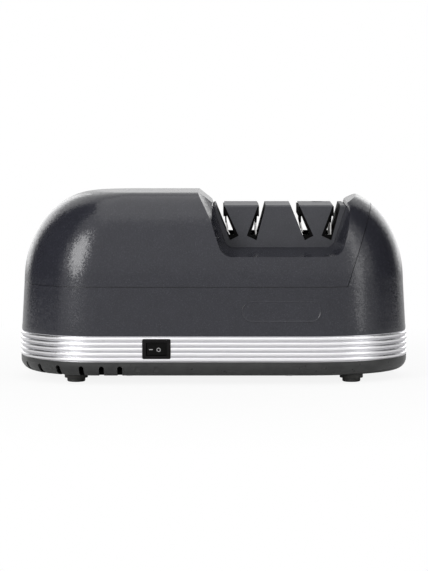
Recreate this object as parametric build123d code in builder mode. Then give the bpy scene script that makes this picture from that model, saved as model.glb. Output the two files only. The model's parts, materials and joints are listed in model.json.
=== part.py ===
from build123d import *
from math import cos, hypot, pi, radians, sin, tan
import os

os.makedirs("parts", exist_ok=True)

# Electric knife sharpener. Millimetres, +Z up, +X to the right of the switch side,
# +Y to the back. The origin is on the resting surface under the middle of the body.

# ------------------------------------------------------------------ driving sizes
# plan of the body
end_reach = 105.0
side_reach = 44.7
left_round_x = -62.0
right_round_x = 49.6

# heights of the stacked body parts
tray_bottom_z = 4.3
tray_top_z = 12.0
band_top_z = 25.7
seam_z = 52.1
crown_z = 101.0

# body shells
shell_wall = 2.4
housing_step = 0.6
seam_end_step = 2.1
seam_side_step = 0.8
crown_left = 63.0
crown_right = 66.8
crown_side = 21.5
crown_left_shift = 20.0
crown_right_shift = 3.8
dome_steps = 6
split_foot_x = 71.3
split_lean = 0.329
seam_gap = 0.3
snug_gap = 0.2
seam_groove_depth = 0.7
seam_groove_height = 0.5
lip_drop = 3.0
lip_rise = 2.0
lip_wall = 1.5
lip_end_gap = 2.0
fit_gap = 0.3
touch_gap = 0.1
bore_gap = 0.04

# trim band
band_wall = 2.4
ridge_count = 5
ridge_depth = 0.8
ridge_fill = 0.72
ridge_round = 0.7
skirt_wall = 2.0

# base tray
tray_floor = 2.5
tray_edge_radius = 6.0
ledge_height = 1.6
ledge_reach = 5.2
vent_width = 2.65
vent_top_z = 9.8
vent_reach_in = 9.0
vent_blind_depth = 1.3
vent_end_count = 10
vent_end_first = 11.0
vent_end_pitch = 17.55
vent_side_x = (-59.6, -49.9)
vent_blind_x = (-40.4, -30.6)

# rubber feet
foot_end_inset = 31.3
foot_side_inset = 17.2
foot_radius = 4.85
foot_flange_radius = 6.2
foot_flange_z = 2.2
foot_stem_radius = 2.5
foot_stem_rise = 3.6

# pocket in the upper cover and the guide block in it (pairs are the left and right half)
pocket_x = 35.3
pocket_floor_z = 71.5
pocket_floor_half = 28.4
pocket_shoulder_z = 95.5
pocket_shoulder_half = 36.2
pocket_brim_z = 104.0
pocket_brim_half = (46.9, 49.5)
pocket_depth_y = 50.0
pocket_wall = 2.0
pocket_inner_radius = 4.8
pocket_outer_radius = 9.0
pocket_outer_floor_z = 66.5
pocket_outer_floor_half = (31.2, 34.0)
pocket_outer_shoulder_z = 78.8
pocket_outer_shoulder_half = (36.9, 41.5)
pocket_outer_brim_half = (48.9, 62.0)
block_half_y = 21.0
block_top_z = 94.0
block_edge_chamfer = 0.8
block_hollow_wall = 2.0
block_hollow_width = 24.0
block_hollow_height = 17.0
block_screw_reach = 9.0
block_screw_x = 5.5
block_screw_y = 16.5
gate_mark_radius = 3.3
gate_mark_depth = 0.6
gate_mark_x = 1.0
gate_mark_y = 14.0

# the two sharpening stages and their leaning slots (pairs are a stage's left and right slot)
stage_pitch = 40.1
slot_inner_top = (9.6, 8.5)
slot_inner_lean = (25.0, 20.4)
slot_outer_top = (14.2, 12.6)
slot_outer_lean = (22.0, 14.8)
slot_floor_z = 75.2
slot_floor_rise = 2.4
wheel_room_half = 6.4
wheel_room_y = 17.2
wheel_room_rise = 1.5

# leaf springs and the holders that carry them in the slots
holder_proud = 0.5
holder_leg = 1.7
holder_knee_leg = 1.45
holder_knee_z = 84.0
holder_hook_z = 88.0
holder_drop = 0.8
holder_half_y = 20.3
holder_bar_z = 78.1
leaf_thickness = 0.7
leaf_half_y = 17.0
leaf_notch_half_y = 8.0
leaf_notch_z = 83.5
leaf_pivot_z = 88.4
leaf_pivot_inset = 1.3
leaf_bead_radius = 0.7
leaf_knee_z = 84.5
leaf_knee_step = (0.05, 0.3)
leaf_tip_z = (79.6, 76.6)
leaf_wall_gap = 0.3

# drive
axis_z = 58.0
shaft_radius = 3.0
shaft_left = -90.0
shaft_right = 73.5
collar_radius = 5.0
collar_width = 3.0
wheel_radius = 21.0
wheel_rim_inner = 14.0
wheel_hub_radius = 7.0
wheel_half = 4.8
wheel_bevel = 2.2
wheel_web = 1.8
wheel_hub_step = 0.6
shaft_end_chamfer = 0.5
wheel_gap = 1.5
nut_width = 4.2
nut_radius = 5.6

# motor
stack_left = -62.0
stack_width = 25.0
stack_half_y = 24.0
stack_bottom_z = 20.0
stack_top_z = 82.0
limb_height = 11.0
window_half_y = 16.8
window_height = 10.6
rotor_radius = 13.6
air_gap = 0.6
bobbin_wall = 1.0
winding_thickness = 6.6
bobbin_half_y = 15.8
bracket_plate = 2.0
bracket_top_z = 78.0
bracket_window_z = 43.6
bracket_window_half_y = 16.9
bracket_foot = 9.0
bearing_cup_radius = 9.0
bearing_cup_length = 8.0
bearing_radius = 6.0
bearing_length = 7.0
motor_corner_radius = 6.0
motor_bolt_y = 20.5
motor_bolt_z = (35.0, 72.0)
rotor_end_gap = 0.5

# fan
fan_x = -88.6
fan_width = 8.6
fan_radius = 21.0
fan_disc = 1.4
fan_blades = 9
fan_blade_thickness = 1.4
fan_hub_radius = 6.5

# outboard bracket and baffle
outboard_x = 68.0
outboard_plate = 4.0
outboard_boss = 7.0
outboard_boss_radius = 9.5
outboard_half_y = 13.0
outboard_foot_half_y = 20.0
outboard_foot_half_x = 8.0
outboard_foot_height = 2.6
baffle_x = -14.5
baffle_thickness = 2.0
baffle_inset = 5.2
baffle_half_y = 36.5
baffle_shaft_gap = 2.0

# switch
switch_x = -30.4
switch_z = 19.1
bezel_width = 15.0
bezel_height = 10.5
bezel_proud = 0.6
bezel_thickness = 1.8
bezel_corner = 0.9
bezel_chamfer = 0.5
switch_case_width = 13.6
switch_case_height = 8.9
switch_case_depth = 9.0
rocker_radius = 6.0
rocker_height = 6.8
rocker_gap = 0.2
rocker_tilt = 7.0
rocker_pivot_depth = 3.6
rocker_face_depth = 1.7
rocker_back = 2.0
rocker_pin_radius = 0.8
rocker_pin_length = 0.6
bezel_window_half = 5.5
terminal_pitch = 7.0
terminal_width = 4.8
terminal_thickness = 0.8
terminal_length = 6.0

# cord gland in the back wall and the terminal block
gland_x = -45.0
gland_z = 38.0
gland_radius = 6.2
gland_neck_radius = 4.6
gland_bore_radius = 3.3
gland_flange = 1.4
block_x = -24.0
block_side_inset = 14.7
block_length = 16.0
block_width = 10.0
block_height = 9.0

# screws
screw_radius = 1.45
screw_head_radius = 2.9
screw_head_height = 2.0
base_post_radius = 3.4
base_post_sink = 0.9
base_post_x = (-45.15, 40.0)
base_post_top_z = 30.0
base_screw_reach = 14.0
motor_screw_reach = 8.0

# leads
lead_radius = 0.9
lead_bend = 2.0
lead_start = 2.2
lead_lanes = (-19.4, -22.6, -24.9)
feed_turn_x = -21.0
feed_turn_run = 6.5
feed_turn_drop = 1.0
return_turn_x = -24.6
return_turn_run = 2.7
return_turn_drop = 6.1
feed_lane_y = 2.0
return_lane_y = 0.0
motor_lead_y = 4.0
motor_lead_z = 26.0

# ------------------------------------------------------------------ derived sizes
seam_end_reach = end_reach - seam_end_step
seam_side_reach = side_reach - seam_side_step
stage_x = (pocket_x - stage_pitch / 2, pocket_x + stage_pitch / 2)
stage_names = ("coarse", "fine")
slot_sides = (("left", -1), ("right", 1))
wheel_room_top_z = axis_z + wheel_radius + wheel_room_rise
holder_foot_z = slot_floor_z + slot_floor_rise + touch_gap
holder_top_z = block_top_z - holder_drop
holder_face = [top + holder_proud for top in slot_inner_top]
leaf_pivot_offset = [face - leaf_pivot_inset for face in holder_face]
tray_floor_z = tray_bottom_z + tray_floor
skirt_inset = band_wall + snug_gap
stack_right = stack_left + stack_width
foot_x = end_reach - foot_end_inset
foot_y = side_reach - foot_side_inset
block_y = side_reach - block_side_inset
base_post_y = side_reach - skirt_inset - skirt_wall - base_post_radius + base_post_sink
split_top_z = crown_z + 10.0
lip_inset = shell_wall + fit_gap


def slot_inner(which, height):
    """Distance of a slot's inner wall from its stage's centre at a height."""
    return slot_inner_top[which] - (block_top_z - height) * tan(radians(slot_inner_lean[which]))


def slot_outer(which, height):
    """Distance of a slot's outer wall from its stage's centre at a height."""
    return slot_outer_top[which] - (block_top_z - height) * tan(radians(slot_outer_lean[which]))


def in_stage(centre, side, offsets):
    """Points of the front view, from their distances to the middle of a stage."""
    return [(centre + side * along, height) for along, height in offsets]


def draw_plan(left, right, side, left_centre, right_centre):
    """Closed plan outline: two straight sides joined by four quarter ellipses."""
    right_run = right - right_centre
    left_run = left_centre - left
    EllipticalCenterArc((right_centre, 0), right_run, side, start_angle=0, arc_size=90)
    Line((right_centre, side), (left_centre, side))
    EllipticalCenterArc((left_centre, 0), left_run, side, start_angle=90, arc_size=90)
    EllipticalCenterArc((left_centre, 0), left_run, side, start_angle=180, arc_size=90)
    Line((left_centre, -side), (right_centre, -side))
    EllipticalCenterArc((right_centre, 0), right_run, side, start_angle=270, arc_size=90)


def draw_wall_plan(inset):
    """Plan outline of the band, moved inwards by an inset."""
    draw_plan(-end_reach + inset, end_reach - inset, side_reach - inset, left_round_x, right_round_x)


def draw_seam_plan(inset):
    """Plan outline of the housing at the seam, moved inwards by an inset."""
    reach = seam_end_reach - inset
    draw_plan(-reach, reach, seam_side_reach - inset, left_round_x, right_round_x)


def wall_ring(bottom, top, outer_inset, inner_inset, draw_outline=draw_wall_plan):
    """Upright ring that follows a plan outline, between two insets."""
    with BuildPart() as ring:
        with BuildSketch(Plane.XY.offset(bottom)):
            with BuildLine():
                draw_outline(outer_inset)
            make_face()
            with BuildLine():
                draw_outline(inner_inset)
            make_face(mode=Mode.SUBTRACT)
        extrude(amount=top - bottom)
    return ring.part


def ridge_ring(bottom, top):
    """One rounded ridge of the trim band."""
    with BuildPart() as ridge:
        with BuildSketch(Plane.XY.offset(bottom)):
            with BuildLine():
                draw_wall_plan(0)
            make_face()
        extrude(amount=top - bottom)
        fillet(ridge.edges().filter_by(Plane.XY), ridge_round)
        with BuildSketch(Plane.XY.offset(bottom)):
            with BuildLine():
                draw_wall_plan(band_wall)
            make_face()
        extrude(amount=top - bottom, mode=Mode.SUBTRACT)
    return ridge.part


def left_of_split(ring, gap):
    """The stretch of a ring that lies under the upper cover."""
    with BuildPart() as stretch:
        add(ring)
        with BuildSketch():
            with Locations((split_foot_x - gap, 0)):
                Rectangle(4 * end_reach, 4 * side_reach, align=(Align.MAX, Align.CENTER))
        extrude(amount=split_top_z, mode=Mode.INTERSECT)
    return stretch.part


def vent_places():
    """Foot point, outward direction and cutting depth of every ventilation slot."""
    places = []
    for number in range(vent_end_count):
        turn = radians(vent_end_first + vent_end_pitch * number)
        outward = Vector(-sin(turn), -cos(turn), 0)
        reach = 1 / hypot(outward.X / (end_reach + left_round_x), outward.Y / side_reach)
        foot = Vector(left_round_x, 0, 0) + outward * (reach + shell_wall)
        places.append((foot, outward, vent_reach_in + shell_wall))
    for side in (-1, 1):
        outward = Vector(0, side, 0)
        for x in vent_side_x:
            places.append((Vector(x, side * side_reach, 0), outward, vent_reach_in))
        for x in vent_blind_x:
            places.append((Vector(x, side * side_reach, 0), outward, vent_blind_depth))
    return places


def slot_corners(which):
    """Corners of one leaning slot, its mouth well above the block."""
    inner_floor_z = slot_floor_z + slot_floor_rise
    return [
        (slot_outer(which, slot_floor_z), slot_floor_z),
        (slot_outer(which, crown_z), crown_z),
        (slot_inner(which, crown_z), crown_z),
        (slot_inner(which, inner_floor_z), inner_floor_z),
    ]


def holder_corners(which):
    """Corners of a spring holder, which hangs on the inner wall of its slot."""
    hook = leaf_pivot_offset[which] - leaf_bead_radius - bore_gap - touch_gap
    return [
        (slot_inner(which, holder_foot_z), holder_foot_z),
        (slot_inner(which, holder_foot_z) + holder_leg, holder_foot_z),
        (slot_inner(which, holder_knee_z) + holder_knee_leg, holder_knee_z),
        (hook, holder_hook_z),
        (holder_face[which], holder_hook_z),
        (holder_face[which], holder_top_z),
        (slot_inner(which, holder_top_z), holder_top_z),
    ]


def bar_corners(which):
    """Corners of a holder's foot bar, which fills the bottom of its slot."""
    return [
        (slot_inner(which, holder_foot_z), holder_foot_z),
        (slot_outer(which, slot_floor_z) - fit_gap, slot_floor_z + fit_gap),
        (slot_outer(which, holder_bar_z) - fit_gap, holder_bar_z),
        (slot_inner(which, holder_bar_z), holder_bar_z),
    ]


def leaf_points(which):
    """Middle line of a leaf spring, from its bead to its tip."""
    tip_z = leaf_tip_z[which]
    tip_room = (leaf_wall_gap + leaf_thickness / 2) / cos(radians(slot_outer_lean[which]))
    return [
        (leaf_pivot_offset[which], leaf_pivot_z),
        (leaf_pivot_offset[which] - leaf_knee_step[which], leaf_knee_z),
        (slot_outer(which, tip_z) - tip_room, tip_z),
    ]


def shaft_disc(left, width, outer):
    """Round disc about the drive axis."""
    with BuildPart() as disc:
        with BuildSketch(Plane.YZ.offset(left)):
            with Locations((0, axis_z)):
                Circle(outer)
        extrude(amount=width)
    return disc.part


def shaft_ring(left, width, outer, inner):
    """Round ring about the drive axis."""
    with BuildPart() as ring:
        add(shaft_disc(left, width, outer))
        add(shaft_disc(left, width, inner), mode=Mode.SUBTRACT)
    return ring.part


def upright_screw(x, y, seat, reach):
    """Screw with its head on a seat and its shank pointing down (reach < 0) or up."""
    upward = 1 if reach > 0 else -1
    with BuildPart() as screw:
        with BuildSketch(Plane.XY.offset(seat)):
            with Locations((x, y)):
                Circle(screw_radius - 2 * bore_gap)
        extrude(amount=reach)
        with BuildSketch(Plane.XY.offset(seat)):
            with Locations((x, y)):
                Circle(screw_head_radius)
        extrude(amount=-upward * screw_head_height)
        rim = screw.edges().group_by(Axis.Z)[0 if upward > 0 else -1]
        chamfer(rim, screw_head_height / 5)
        with BuildSketch(Plane.XY.offset(seat - upward * screw_head_height)):
            with Locations((x, y)):
                Rectangle(1.4 * screw_head_radius, screw_head_height / 3)
                Rectangle(screw_head_height / 3, 1.4 * screw_head_radius)
        extrude(amount=upward * screw_head_height / 2, mode=Mode.SUBTRACT)
    return screw.part


def housing_body(inset):
    """Solid of the body above the band, moved inwards by an inset."""
    with BuildPart() as body:
        with BuildSketch(Plane.XY.offset(band_top_z)):
            with BuildLine():
                draw_wall_plan(housing_step + inset)
            make_face()
        with BuildSketch(Plane.XY.offset(seam_z)):
            with BuildLine():
                draw_seam_plan(inset)
            make_face()
        loft(ruled=True)
    with BuildPart() as dome:
        for step in range(dome_steps + 1):
            turn = pi / 2 * step / dome_steps
            run = cos(turn)
            height = seam_z + (crown_z - seam_z - inset) * sin(turn)
            with BuildSketch(Plane.XY.offset(height)):
                with BuildLine():
                    draw_plan(
                        -(crown_left + (seam_end_reach - crown_left) * run - inset),
                        crown_right + (seam_end_reach - crown_right) * run - inset,
                        crown_side + (seam_side_reach - crown_side) * run - inset,
                        left_round_x + crown_left_shift * (1 - run),
                        right_round_x - crown_right_shift * (1 - run),
                    )
                make_face()
        loft()
    with BuildPart() as joined:
        add(body.part)
        add(dome.part)
    return joined.part


def cover_side(gap):
    """Region left of and above the seam, moved away from the seam's slanted part by a gap."""
    with BuildPart() as region:
        with BuildSketch(Plane.XZ.offset(-2 * side_reach)):
            foot = split_foot_x - gap
            head = foot + split_lean * (split_top_z - seam_z)
            Polygon(
                (-2 * end_reach, seam_z),
                (foot, seam_z),
                (head, split_top_z),
                (-2 * end_reach, split_top_z),
                align=None,
            )
        extrude(amount=4 * side_reach)
    return region.part


def pocket_profile(floor_half, floor_z, shoulder_half, shoulder_z, brim_half, corner, grow):
    """Outline of the pocket in one upright plane, grown outwards by a wall."""
    with BuildSketch() as profile:
        with BuildLine():
            Polyline(
                (pocket_x - floor_half[0], floor_z),
                (pocket_x - shoulder_half[0], shoulder_z),
                (pocket_x - brim_half[0], pocket_brim_z),
                (pocket_x + brim_half[1], pocket_brim_z),
                (pocket_x + shoulder_half[1], shoulder_z),
                (pocket_x + floor_half[1], floor_z),
                close=True,
            )
        make_face()
        if grow > 0:
            offset(amount=grow, kind=Kind.INTERSECTION)
        lowest = profile.vertices().group_by(Axis.Y)[0]
        fillet(lowest, corner + grow)
    return profile.sketch


def pocket_tool(grow):
    """Solid of the pocket: a straight middle and flared front and back ends."""
    inner = pocket_profile(
        (pocket_floor_half, pocket_floor_half), pocket_floor_z,
        (pocket_shoulder_half, pocket_shoulder_half), pocket_shoulder_z,
        pocket_brim_half, pocket_inner_radius, grow,
    )
    outer = pocket_profile(
        pocket_outer_floor_half, pocket_outer_floor_z, pocket_outer_shoulder_half,
        pocket_outer_shoulder_z, pocket_outer_brim_half, pocket_outer_radius, grow,
    )
    with BuildPart() as tool:
        with BuildSketch(Plane.XZ.offset(block_half_y)):
            add(inner)
        with BuildSketch(Plane.XZ.offset(pocket_depth_y)):
            add(outer)
        loft(ruled=True)
        mirror(about=Plane.XZ)
        with BuildSketch(Plane.XZ.offset(-block_half_y)):
            add(inner)
        extrude(amount=2 * block_half_y)
    return tool.part


def finish_piece(piece, name):
    """Label one finished piece and write its file."""
    piece.part.label = name
    export_step(piece.part, f"parts/{name}.step")


outer_body = housing_body(0)
inner_body = housing_body(shell_wall)

# ------------------------------------------------------------------ upper cover
block_screw_places = [
    (pocket_x + end * block_screw_x, side * block_screw_y) for end in (-1, 1) for side in (-1, 1)
]

with BuildPart() as pocket_shell:
    add(pocket_tool(pocket_wall))
    add(outer_body, mode=Mode.INTERSECT)

lip_edge = lip_inset + lip_wall
lip_tongue = wall_ring(seam_z - lip_drop, seam_z + lip_rise, lip_inset, lip_edge, draw_seam_plan)
lip_root = wall_ring(seam_z, seam_z + lip_rise, shell_wall - fit_gap, lip_edge, draw_seam_plan)

with BuildPart() as upper_cover:
    add(outer_body)
    add(inner_body, mode=Mode.SUBTRACT)
    add(pocket_shell.part)
    add(pocket_tool(0), mode=Mode.SUBTRACT)
    add(cover_side(seam_gap), mode=Mode.INTERSECT)
    add(left_of_split(lip_tongue, lip_end_gap))
    add(left_of_split(lip_root, lip_end_gap))
    with BuildSketch(Plane.XY.offset(pocket_floor_z + pocket_inner_radius)):
        with Locations(*[(x, 0) for x in stage_x]):
            Rectangle(2 * wheel_room_half + 2, 2 * wheel_room_y + 2)
        with Locations(*block_screw_places):
            Circle(screw_radius + fit_gap)
    extrude(amount=-pocket_inner_radius - 3 * pocket_wall, mode=Mode.SUBTRACT)
finish_piece(upper_cover, "upper_cover")

# ------------------------------------------------------------------ lower housing
base_post_places = [(x, side * base_post_y) for x in base_post_x for side in (-1, 1)]

seam_groove = wall_ring(
    seam_z - seam_groove_height, seam_z + seam_groove_height, -shell_wall, seam_groove_depth, draw_seam_plan
)

with BuildPart() as lower_housing:
    add(outer_body)
    add(inner_body, mode=Mode.SUBTRACT)
    add(cover_side(0), mode=Mode.SUBTRACT)
    add(wall_ring(tray_top_z, band_top_z + shell_wall, skirt_inset, skirt_inset + skirt_wall))
    add(wall_ring(band_top_z, band_top_z + shell_wall, housing_step, skirt_inset + skirt_wall))
    add(left_of_split(seam_groove, 0), mode=Mode.SUBTRACT)
    with BuildSketch(Plane.XY.offset(tray_top_z)):
        with Locations(*base_post_places):
            Circle(base_post_radius)
    extrude(amount=base_post_top_z - tray_top_z)
    with BuildSketch(Plane.XY.offset(tray_top_z)):
        with Locations(*base_post_places):
            Circle(screw_radius - bore_gap)
    extrude(amount=base_screw_reach, mode=Mode.SUBTRACT)
    with BuildSketch(Plane.XZ.offset(side_reach)):
        with Locations((switch_x, switch_z)):
            Rectangle(switch_case_width + 2 * touch_gap, switch_case_height + 2 * touch_gap)
    extrude(amount=-3 * shell_wall, mode=Mode.SUBTRACT)
    with BuildSketch(Plane.XZ.offset(-side_reach)):
        with Locations((gland_x, gland_z)):
            Circle(gland_neck_radius + touch_gap)
    extrude(amount=3 * shell_wall, mode=Mode.SUBTRACT)
finish_piece(lower_housing, "lower_housing")

# ------------------------------------------------------------------ trim band
ridge_pitch = (band_top_z - tray_top_z) / ridge_count
ridge_height = ridge_pitch * ridge_fill

with BuildPart() as trim_band:
    add(wall_ring(tray_top_z, band_top_z, ridge_depth, band_wall))
    for ridge in range(ridge_count):
        ridge_bottom = tray_top_z + ridge_pitch * (ridge + (1 - ridge_fill) / 2)
        add(ridge_ring(ridge_bottom, ridge_bottom + ridge_height))
    with BuildSketch(Plane.XZ.offset(side_reach)):
        with Locations((switch_x, switch_z)):
            RectangleRounded(bezel_width + 2 * touch_gap, bezel_height + 2 * touch_gap, bezel_corner)
    extrude(amount=-(bezel_thickness - bezel_proud), mode=Mode.SUBTRACT)
    with BuildSketch(Plane.XZ.offset(side_reach)):
        with Locations((switch_x, switch_z)):
            Rectangle(switch_case_width + 2 * touch_gap, switch_case_height + 2 * touch_gap)
    extrude(amount=-3 * band_wall, mode=Mode.SUBTRACT)
finish_piece(trim_band, "trim_band")

# ------------------------------------------------------------------ base tray
foot_places = [(x, y) for x in (-foot_x, foot_x) for y in (-foot_y, foot_y)]
motor_post_x = (stack_left - bracket_plate - bracket_foot / 2, stack_right + bracket_plate + bracket_foot / 2)
motor_post_y = (bracket_window_half_y + stack_half_y) / 2
motor_post_half_y = (stack_half_y - bracket_window_half_y) / 2
outboard_screw_y = outboard_foot_half_y - screw_head_radius - touch_gap

with BuildPart() as base_tray:
    with BuildSketch(Plane.XY.offset(tray_bottom_z)):
        with BuildLine():
            draw_wall_plan(snug_gap)
        make_face()
    extrude(amount=tray_top_z - tray_bottom_z)
    fillet(base_tray.edges().group_by(Axis.Z)[0], tray_edge_radius)
    with BuildSketch(Plane.XY.offset(tray_floor_z)):
        with BuildLine():
            draw_wall_plan(shell_wall)
        make_face()
    extrude(amount=tray_top_z, mode=Mode.SUBTRACT)
    add(wall_ring(tray_top_z - ledge_height, tray_top_z, shell_wall / 2, ledge_reach))
    with BuildSketch(Plane.XY.offset(tray_floor_z)):
        with Locations(*base_post_places):
            Circle(base_post_radius)
    extrude(amount=tray_top_z - tray_floor_z)
    with BuildSketch(Plane.XY.offset(tray_floor_z)):
        for side in (-1, 1):
            with Locations(((motor_post_x[0] + motor_post_x[1]) / 2, side * motor_post_y)):
                Rectangle(motor_post_x[1] - motor_post_x[0] + bracket_foot, 2 * motor_post_half_y)
    extrude(amount=stack_bottom_z - tray_floor_z)
    with BuildSketch(Plane.XY.offset(stack_bottom_z)):
        with Locations(*[(x, side * motor_post_y) for x in motor_post_x for side in (-1, 1)]):
            Circle(screw_radius - bore_gap)
    extrude(amount=-motor_screw_reach, mode=Mode.SUBTRACT)
    with BuildSketch(Plane.XY.offset(tray_bottom_z)):
        with Locations(*base_post_places):
            Circle(screw_radius + bore_gap)
        with Locations(*foot_places):
            Circle(foot_stem_radius + bore_gap)
        with Locations((outboard_x, -outboard_screw_y), (outboard_x, outboard_screw_y)):
            Circle(screw_radius)
    extrude(amount=tray_top_z, mode=Mode.SUBTRACT)
    with BuildSketch(Plane.XY.offset(tray_bottom_z)):
        with Locations(*base_post_places):
            Circle(screw_head_radius + fit_gap)
    extrude(amount=screw_head_height, mode=Mode.SUBTRACT)
    for place, outward, depth in vent_places():
        with BuildSketch(Plane(origin=place, x_dir=(-outward.Y, outward.X, 0), z_dir=outward)):
            with Locations((0, vent_top_z / 2)):
                SlotOverall(vent_top_z, vent_width, rotation=90)
            with Locations((0, -vent_width)):
                Rectangle(vent_width, vent_top_z, align=(Align.CENTER, Align.MIN))
        extrude(amount=-depth, mode=Mode.SUBTRACT)
finish_piece(base_tray, "base_tray")

# ------------------------------------------------------------------ rubber feet
for foot_name, (x, y) in zip(("front_left", "back_left", "front_right", "back_right"), foot_places):
    with BuildPart() as foot:
        with BuildSketch(Plane.XY):
            with Locations((x, y)):
                Circle(foot_radius)
        extrude(amount=foot_flange_z)
        fillet(foot.edges().group_by(Axis.Z)[0], foot_flange_z / 3)
        with BuildSketch(Plane.XY.offset(foot_flange_z)):
            with Locations((x, y)):
                Circle(foot_flange_radius)
        extrude(amount=tray_bottom_z - foot_flange_z)
        with BuildSketch(Plane.XY.offset(tray_bottom_z)):
            with Locations((x, y)):
                Circle(foot_stem_radius)
        extrude(amount=foot_stem_rise)
    finish_piece(foot, f"foot_{foot_name}")

# ------------------------------------------------------------------ guide block
block_floor_half = pocket_floor_half - touch_gap
block_shoulder_half = pocket_shoulder_half - touch_gap
hollow_top_z = pocket_floor_z + block_hollow_height
hollow_left = stage_x[0] + slot_outer(1, hollow_top_z) + block_hollow_wall
hollow_right = stage_x[1] - slot_outer(0, hollow_top_z) - block_hollow_wall

with BuildPart() as guide_block:
    with BuildSketch(Plane.XZ.offset(block_half_y - touch_gap)):
        add(pocket_profile(
            (block_floor_half, block_floor_half), pocket_floor_z,
            (block_shoulder_half, block_shoulder_half), pocket_shoulder_z,
            pocket_brim_half, pocket_inner_radius, 0,
        ))
        with Locations((pocket_x, block_top_z)):
            Rectangle(
                3 * pocket_shoulder_half, crown_z, align=(Align.CENTER, Align.MIN), mode=Mode.SUBTRACT
            )
    extrude(amount=-2 * (block_half_y - touch_gap))
    chamfer(guide_block.edges().group_by(Axis.Z)[-1], block_edge_chamfer)
    for centre in stage_x:
        for which, (side_name, side) in enumerate(slot_sides):
            with BuildSketch(Plane.XZ.offset(block_half_y)):
                with BuildLine():
                    Polyline(*in_stage(centre, side, slot_corners(which)), close=True)
                make_face()
            extrude(amount=-2 * block_half_y, mode=Mode.SUBTRACT)
        with BuildSketch(Plane.XY.offset(pocket_floor_z)):
            with Locations((centre, 0)):
                Rectangle(2 * wheel_room_half, 2 * wheel_room_y)
        extrude(amount=wheel_room_top_z - pocket_floor_z, mode=Mode.SUBTRACT)
    with BuildSketch(Plane.XY.offset(pocket_floor_z)):
        with Locations(((hollow_left + hollow_right) / 2, 0)):
            Rectangle(hollow_right - hollow_left, block_hollow_width)
    extrude(amount=block_hollow_height, mode=Mode.SUBTRACT)
    with BuildSketch(Plane.XY.offset(pocket_floor_z)):
        with Locations(*block_screw_places):
            Circle(screw_radius - bore_gap)
    extrude(amount=block_screw_reach + pocket_wall, mode=Mode.SUBTRACT)
    with BuildSketch(Plane.XY.offset(block_top_z)):
        with Locations((stage_x[1] + gate_mark_x, gate_mark_y)):
            Circle(gate_mark_radius)
    extrude(amount=-gate_mark_depth, mode=Mode.SUBTRACT)
finish_piece(guide_block, "guide_block")

# ------------------------------------------------------------------ spring holders and leaf springs
for stage_name, centre in zip(stage_names, stage_x):
    for which, (side_name, side) in enumerate(slot_sides):
        pivot_x = centre + side * leaf_pivot_offset[which]
        with BuildPart() as holder:
            with BuildSketch(Plane.XZ.offset(holder_half_y)):
                with BuildLine():
                    Polyline(*in_stage(centre, side, holder_corners(which)), close=True)
                make_face()
                with Locations((pivot_x, leaf_pivot_z)):
                    Circle(leaf_bead_radius + bore_gap, mode=Mode.SUBTRACT)
            extrude(amount=-2 * holder_half_y)
            with BuildSketch(Plane.XY.offset(holder_foot_z)):
                with Locations((centre, 0)):
                    Rectangle(2 * wheel_room_half, 2 * wheel_room_y)
            extrude(amount=wheel_room_top_z - holder_foot_z, mode=Mode.SUBTRACT)
            for bar_start in (holder_half_y, -wheel_room_y - snug_gap):
                with BuildSketch(Plane.XZ.offset(bar_start)):
                    with BuildLine():
                        Polyline(*in_stage(centre, side, bar_corners(which)), close=True)
                    make_face()
                extrude(amount=wheel_room_y + snug_gap - holder_half_y)
        finish_piece(holder, f"spring_holder_{stage_name}_{side_name}")
        with BuildPart() as leaf:
            with BuildSketch(Plane.XZ.offset(leaf_half_y)):
                with BuildLine():
                    Polyline(*in_stage(centre, side, leaf_points(which)))
                trace(line_width=leaf_thickness)
                with Locations((pivot_x, leaf_pivot_z)):
                    Circle(leaf_bead_radius)
            extrude(amount=-2 * leaf_half_y)
            with BuildSketch(Plane.XY.offset(slot_floor_z)):
                with Locations((pivot_x, 0)):
                    Rectangle(2 * wheel_room_half, 2 * leaf_notch_half_y)
            extrude(amount=leaf_notch_z - slot_floor_z, mode=Mode.SUBTRACT)
        finish_piece(leaf, f"leaf_spring_{stage_name}_{side_name}")

# ------------------------------------------------------------------ drive shaft and wheels
wheel_outer = wheel_half - wheel_hub_step
collar_right = stage_x[0] - wheel_outer

with BuildPart() as drive_shaft:
    add(shaft_disc(shaft_left, shaft_right - shaft_left, shaft_radius))
    chamfer(drive_shaft.edges().filter_by(GeomType.CIRCLE), shaft_end_chamfer)
    add(shaft_disc(collar_right - collar_width, collar_width, collar_radius))
finish_piece(drive_shaft, "drive_shaft")

for stage_name, centre in zip(stage_names, stage_x):
    for side_name, side in (("left", -1), ("right", 1)):
        with BuildPart() as wheel:
            with BuildSketch(Plane.XZ):
                with BuildLine():
                    profile = [
                        (wheel_gap / 2, shaft_radius + bore_gap),
                        (wheel_gap / 2, wheel_radius),
                        (wheel_half - wheel_bevel, wheel_radius),
                        (wheel_half, wheel_rim_inner),
                        (wheel_gap / 2 + wheel_web, wheel_rim_inner - wheel_web / 2),
                        (wheel_gap / 2 + wheel_web, wheel_hub_radius),
                        (wheel_outer, wheel_hub_radius),
                        (wheel_outer, shaft_radius + bore_gap),
                    ]
                    Polyline(*[(centre + side * along, axis_z + r) for along, r in profile], close=True)
                make_face()
            revolve(axis=Axis((0, 0, axis_z), (1, 0, 0)))
        finish_piece(wheel, f"{stage_name}_wheel_{side_name}")
    with BuildPart() as washer:
        add(shaft_ring(centre - wheel_gap / 2, wheel_gap, wheel_hub_radius - 1, shaft_radius + bore_gap))
    finish_piece(washer, f"{stage_name}_wheel_washer")

with BuildPart() as wheel_spacer:
    spacer_left = stage_x[0] + wheel_outer
    spacer_length = stage_x[1] - wheel_outer - spacer_left
    add(shaft_ring(spacer_left, spacer_length, collar_radius, shaft_radius + bore_gap))
finish_piece(wheel_spacer, "wheel_spacer")

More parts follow.
